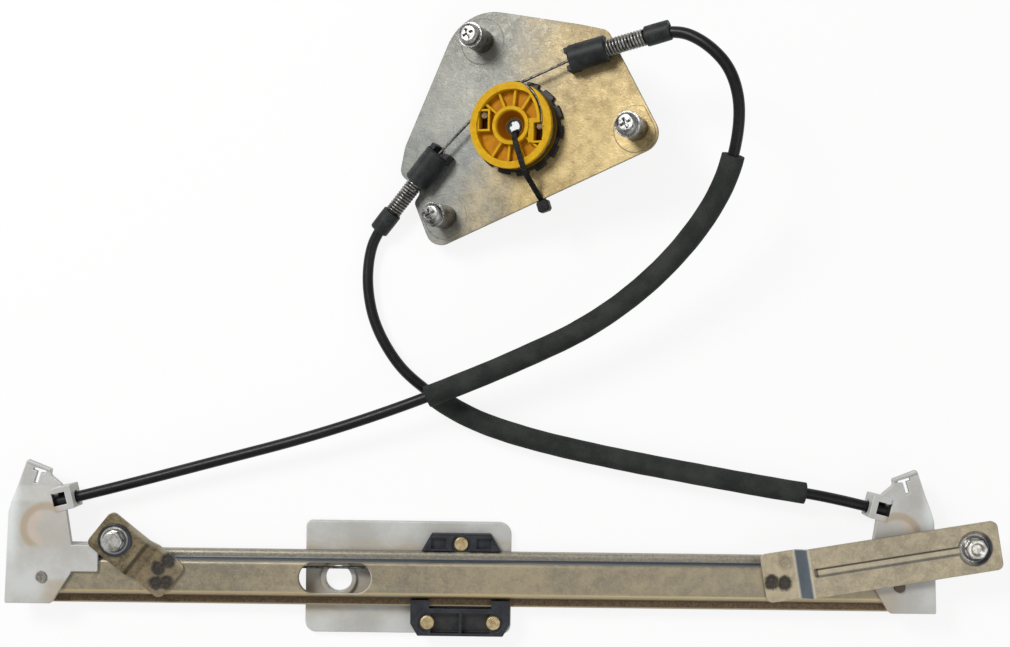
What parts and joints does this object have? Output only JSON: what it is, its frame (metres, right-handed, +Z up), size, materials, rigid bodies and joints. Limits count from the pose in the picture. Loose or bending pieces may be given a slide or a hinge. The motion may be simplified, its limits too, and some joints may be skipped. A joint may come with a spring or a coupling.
{
  "type": "window regulator",
  "caption": "Cable window regulator: hat-section rail with glass carrier, end guides, two door brackets, and a drum on a plate driven through two sleeved conduits.",
  "frame": {"origin": "centre of the footprint, at the height of the surface it lies on; the backs of the two cable guides are at z 0", "axes": "+X along the guide rail from the end with the short bracket to the end with the long bracket, +Y from the rail towards the drum plate, +Z up, from the door panel's side to the side with the bolt heads"},
  "size_m": [0.5408, 0.3415, 0.0754],
  "materials": {
    "galvanised_rail": "zinc coated rolled steel, dull warm grey",
    "galvanised_sheet": "zinc coated sheet steel with spangle and light marks",
    "zinc_fastener": "bright zinc plated steel",
    "guide_pin_steel": "dark plated steel",
    "wire_rope": "stranded steel wire, greased",
    "spring_steel": "plated spring steel",
    "white_nylon": "milky unfilled nylon",
    "black_plastic": "black glass-filled nylon, satin",
    "tie_nylon": "black nylon strap",
    "yellow_drum": "yellow acetal, satin",
    "conduit_black": "smooth black plastic conduit",
    "foam_sleeve": "dark grey closed-cell foam",
    "brass": "brass, lightly dulled"
  },
  "bodies": {
    "root": {"rail": "galvanised_rail", "left_cable_guide": "white_nylon", "right_cable_guide": "white_nylon", "left_guide_pin": "guide_pin_steel", "right_guide_pin": "guide_pin_steel", "left_conduit_cap": "black_plastic", "right_conduit_cap": "black_plastic", "rail_wire": "wire_rope", "short_bracket": "galvanised_sheet", "long_bracket": "galvanised_sheet", "short_bracket_bolt": "zinc_fastener", "long_bracket_bolt": "zinc_fastener", "short_bracket_washer": "zinc_fastener", "short_bracket_nut": "zinc_fastener", "long_bracket_nut": "zinc_fastener", "drum_plate": "galvanised_sheet", "plate_standoffs": "zinc_fastener", "plate_screws": "zinc_fastener", "drum_bearing_ring": "black_plastic", "transport_tie": "tie_nylon", "upper_cable_socket": "black_plastic", "lower_cable_socket": "black_plastic", "upper_tension_spring": "spring_steel", "lower_tension_spring": "spring_steel", "upper_drum_wire": "wire_rope", "lower_drum_wire": "wire_rope", "upper_conduit": "conduit_black", "lower_conduit": "conduit_black", "upper_foam_sleeve": "foam_sleeve", "lower_foam_sleeve": "foam_sleeve"},
    "carrier": {"glass_carrier": "white_nylon", "upper_slide_shoe": "black_plastic", "lower_slide_shoe": "black_plastic", "upper_shoe_rivet": "brass", "lower_shoe_rivets": "brass", "left_cable_nipple": "zinc_fastener", "right_cable_nipple": "zinc_fastener"},
    "drum": {"cable_drum": "yellow_drum", "drum_drive_insert": "black_plastic", "drum_winding": "wire_rope", "drum_cable_nipples": "zinc_fastener"},
    "upper_ferrule": {"upper_conduit_ferrule": "black_plastic"},
    "lower_ferrule": {"lower_conduit_ferrule": "black_plastic"}
  },
  "joints": [
    {"name": "carrier_slide", "type": "slide", "parent": "root", "child": "carrier", "axis": [1, 0, 0], "range_m": [-0.122, 0.185]},
    {"name": "drum_spin", "type": "hinge", "parent": "root", "child": "drum", "pos_m": [0.0078, 0.1049, 0.0274], "axis": [-0.3502, 0, 0.9367], "range_deg": [-509, 336]},
    {"name": "upper_tension", "type": "slide", "parent": "root", "child": "upper_ferrule", "axis": [-0.9145, -0.2164, -0.3419], "range_m": [0, 0.004], "stiffness_N_per_m": 2500, "deforming": ["upper_tension_spring"]},
    {"name": "lower_tension", "type": "slide", "parent": "root", "child": "lower_ferrule", "axis": [0.6096, 0.7593, 0.2279], "range_m": [0, 0.004], "stiffness_N_per_m": 2500, "deforming": ["lower_tension_spring"]}
  ],
  "couplings": [
    {"joint": "drum_spin", "follows": "carrier_slide", "rad_per_m": -47.847}
  ]
}
